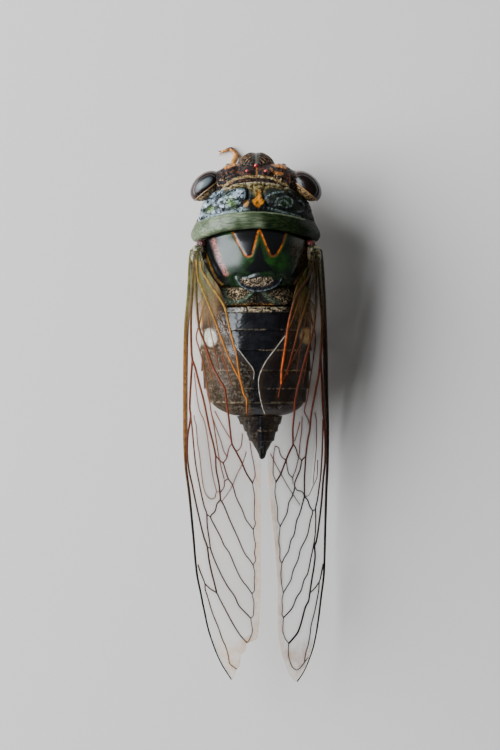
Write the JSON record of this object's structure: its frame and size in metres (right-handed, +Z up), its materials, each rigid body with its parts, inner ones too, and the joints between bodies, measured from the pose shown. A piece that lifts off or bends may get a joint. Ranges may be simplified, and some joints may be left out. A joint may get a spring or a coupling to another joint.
{
  "type": "cicada",
  "caption": "Life-size cicada at rest, with clear veined wings folded like a roof over its body and its legs tucked beneath.",
  "frame": {"origin": "on the floor under the middle of the whole insect's outline", "axes": "+Y towards the head, +X to the insect's right, +Z up from the floor"},
  "size_m": [0.0154, 0.0543, 0.0127],
  "materials": {
    "head": "glossy black cuticle with tan marks",
    "eye": "polished dark brown",
    "antenna": "satin dark bristle",
    "pronotum": "satin, mottled black, olive green and tan",
    "mesothorax": "polished black with green and orange marks",
    "metathorax": "downy tan and pale green patches",
    "abdomen": "satin black with greyish bloom at the sides",
    "operculum": "satin tan",
    "leg": "satin orange brown",
    "wing": "clear glossy membrane with brown veins"
  },
  "bodies": {
    "root": {"head": "head", "eye_left": "eye", "eye_right": "eye", "antenna_left": "antenna", "antenna_right": "antenna", "rostrum": "leg", "pronotum": "pronotum", "mesothorax": "mesothorax", "metathorax": "metathorax", "abdomen": "abdomen", "abdomen_tip": "abdomen", "operculum_left": "operculum", "operculum_right": "operculum", "foreleg_left": "leg", "foreleg_right": "leg", "midleg_left": "leg", "midleg_right": "leg", "hindleg_left": "leg", "hindleg_right": "leg", "forewing_left": "wing", "forewing_right": "wing", "hindwing_left": "wing", "hindwing_right": "wing"}
  },
  "joints": []
}
